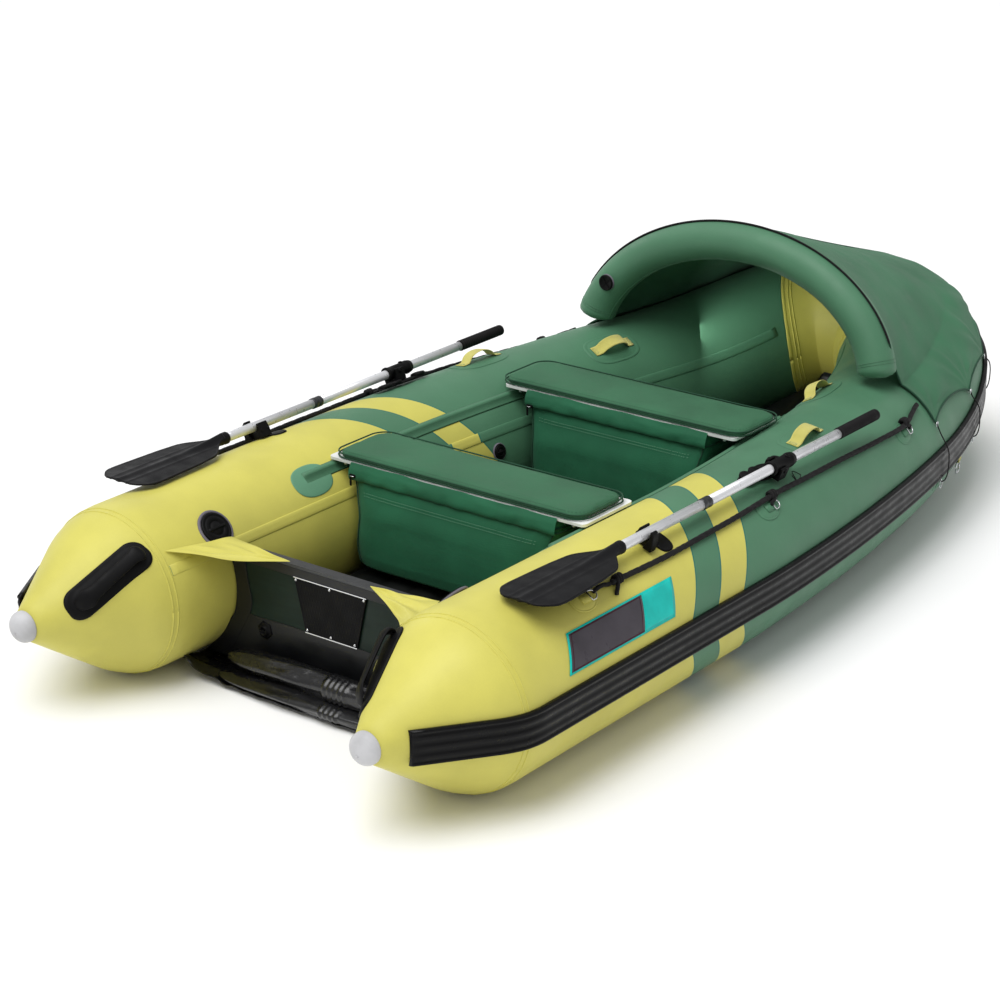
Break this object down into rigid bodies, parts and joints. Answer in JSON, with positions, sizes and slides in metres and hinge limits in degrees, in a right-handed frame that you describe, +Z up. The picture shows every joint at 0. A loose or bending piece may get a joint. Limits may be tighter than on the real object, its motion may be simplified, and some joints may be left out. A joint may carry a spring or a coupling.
{
  "type": "inflatable dinghy",
  "caption": "Inflatable rowing and motor dinghy: twin buoyancy tubes joined round a raised bow, rigid transom, sliding bench seats with storage bags, oars in rowlocks, bow arch and spray cover.",
  "frame": {"origin": "below the middle of the boat, on the ground plane that its tubes rest on", "axes": "+Y towards the bow, +X to starboard, +Z up"},
  "size_m": [1.6608, 3.5144, 0.884],
  "materials": {
    "hull_fabric_green": "satin coated fabric",
    "hull_fabric_yellow": "satin coated fabric",
    "yellow_webbing": "woven webbing and coated fabric",
    "white_plastic": "smooth",
    "black_plastic": "fine grain",
    "black_rubber": "satin",
    "oar_aluminium": "anodised",
    "black_rope": "braided",
    "steel": "polished",
    "painted_plywood": "dark paint",
    "white_plank": "semi-gloss",
    "green_canvas": "coated canvas"
  },
  "bodies": {
    "hull": {"arch_tube": "hull_fabric_green", "bow_tube": "hull_fabric_yellow", "cover_cord": "black_rope", "hull_bottom": "black_rubber", "inflatable_floor": "black_rubber", "keel_roll": "black_rubber", "motor_pad_inner": "black_plastic", "motor_pad_outer": "black_plastic", "port_aft_handle": "yellow_webbing", "port_bow_handle": "yellow_webbing", "port_cone_cap": "white_plastic", "port_cone_handle": "black_plastic", "port_lifeline": "black_rope", "port_oar_keeper": "black_plastic", "port_rowlock_base": "black_plastic", "port_seat_rail": "hull_fabric_green", "port_splash_flap": "yellow_webbing", "port_tube": "hull_fabric_green", "rubbing_strake": "black_rubber", "spray_cover": "green_canvas", "starboard_aft_handle": "yellow_webbing", "starboard_bow_handle": "yellow_webbing", "starboard_cone_cap": "white_plastic", "starboard_cone_handle": "black_plastic", "starboard_lifeline": "black_rope", "starboard_oar_keeper": "black_plastic", "starboard_rowlock_base": "black_plastic", "starboard_seat_rail": "hull_fabric_green", "starboard_splash_flap": "yellow_webbing", "starboard_tube": "hull_fabric_green", "transom_board": "painted_plywood", "transom_cap": "oar_aluminium"},
    "port_rowlock": {"port_rowlock_yoke": "black_plastic"},
    "port_oar": {"port_oar_sleeve": "black_plastic", "port_oar_shaft": "oar_aluminium", "port_oar_loom": "oar_aluminium", "port_oar_grip": "black_rubber", "port_oar_blade": "black_plastic"},
    "starboard_rowlock": {"starboard_rowlock_yoke": "black_plastic"},
    "starboard_oar": {"starboard_oar_sleeve": "black_plastic", "starboard_oar_shaft": "oar_aluminium", "starboard_oar_loom": "oar_aluminium", "starboard_oar_grip": "black_rubber", "starboard_oar_blade": "black_plastic"},
    "aft_seat": {"aft_seat_plank": "white_plank", "aft_seat_cushion": "green_canvas", "aft_seat_bag": "green_canvas"},
    "aft_zip": {"aft_zip_slider": "black_plastic"},
    "fore_seat": {"fore_seat_plank": "white_plank", "fore_seat_cushion": "green_canvas", "fore_seat_bag": "green_canvas"},
    "fore_zip": {"fore_zip_slider": "black_plastic"},
    "port_stern_valve_cap_body": {"port_stern_valve_cap": "black_plastic"},
    "starboard_stern_valve_cap_body": {"starboard_stern_valve_cap": "black_plastic"},
    "port_side_valve_cap_body": {"port_side_valve_cap": "black_plastic"},
    "starboard_side_valve_cap_body": {"starboard_side_valve_cap": "black_plastic"},
    "arch_valve_cap_body": {"arch_valve_cap": "black_plastic"},
    "drain_plug_body": {"drain_plug": "black_plastic"},
    "port_tow_ring_body": {"port_tow_ring": "steel"},
    "starboard_tow_ring_body": {"starboard_tow_ring": "steel"}
  },
  "joints": [
    {"name": "port_oar_swing", "type": "hinge", "parent": "hull", "child": "port_rowlock", "pos_m": [-0.68, -0.111, 0.492], "axis": [-0.3584, 0, 0.9336], "range_deg": [-110, 0]},
    {"name": "port_oar_tilt", "type": "hinge", "parent": "port_rowlock", "child": "port_oar", "pos_m": [-0.68, -0.111, 0.492], "axis": [0.9336, 0, 0.3584], "range_deg": [-3, 0]},
    {"name": "starboard_oar_swing", "type": "hinge", "parent": "hull", "child": "starboard_rowlock", "pos_m": [0.68, -0.111, 0.492], "axis": [0.3584, 0, 0.9336], "range_deg": [0, 110]},
    {"name": "starboard_oar_tilt", "type": "hinge", "parent": "starboard_rowlock", "child": "starboard_oar", "pos_m": [0.68, -0.111, 0.492], "axis": [0.9336, 0, -0.3584], "range_deg": [-3, 0]},
    {"name": "aft_seat_slide", "type": "slide", "parent": "hull", "child": "aft_seat", "axis": [0, 1, 0], "range_m": [-0.15, 0.2]},
    {"name": "fore_seat_slide", "type": "slide", "parent": "hull", "child": "fore_seat", "axis": [0, 1, 0], "range_m": [-0.3, 0]},
    {"name": "aft_zip_slide", "type": "slide", "parent": "aft_seat", "child": "aft_zip", "axis": [1, 0, 0], "range_m": [0, 0.66]},
    {"name": "fore_zip_slide", "type": "slide", "parent": "fore_seat", "child": "fore_zip", "axis": [1, 0, 0], "range_m": [0, 0.58]},
    {"name": "port_stern_valve_turn", "type": "hinge", "parent": "hull", "child": "port_stern_valve_cap_body", "pos_m": [-0.39993, -1.186, 0.39254], "axis": [0.7547, 0, 0.6561], "range_deg": [0, 90]},
    {"name": "starboard_stern_valve_turn", "type": "hinge", "parent": "hull", "child": "starboard_stern_valve_cap_body", "pos_m": [0.39993, -1.186, 0.39254], "axis": [-0.7547, 0, 0.6561], "range_deg": [0, 90]},
    {"name": "port_side_valve_turn", "type": "hinge", "parent": "hull", "child": "port_side_valve_cap_body", "pos_m": [-0.33183, -0.03652, 0.28967], "axis": [0.9716, -0.0734, 0.225], "range_deg": [0, 90]},
    {"name": "starboard_side_valve_turn", "type": "hinge", "parent": "hull", "child": "starboard_side_valve_cap_body", "pos_m": [0.33183, -0.03652, 0.28967], "axis": [-0.9716, -0.0734, 0.225], "range_deg": [0, 90]},
    {"name": "arch_valve_turn", "type": "hinge", "parent": "hull", "child": "arch_valve_cap_body", "pos_m": [-0.45206, 0.665, 0.627], "axis": [0, -1, 0], "range_deg": [0, 90]},
    {"name": "drain_plug_turn", "type": "hinge", "parent": "hull", "child": "drain_plug_body", "pos_m": [-0.238, -1.187, 0.138], "axis": [0, 1, 0], "range_deg": [0, 180]},
    {"name": "port_tow_ring_swing", "type": "hinge", "parent": "hull", "child": "port_tow_ring_body", "pos_m": [-0.55817, 1.17081, 0.10452], "axis": [0.3019, 0.9533, 0], "range_deg": [0, 75]},
    {"name": "starboard_tow_ring_swing", "type": "hinge", "parent": "hull", "child": "starboard_tow_ring_body", "pos_m": [0.55817, 1.17081, 0.10452], "axis": [-0.3019, 0.9533, 0], "range_deg": [-75, 0]}
  ]
}
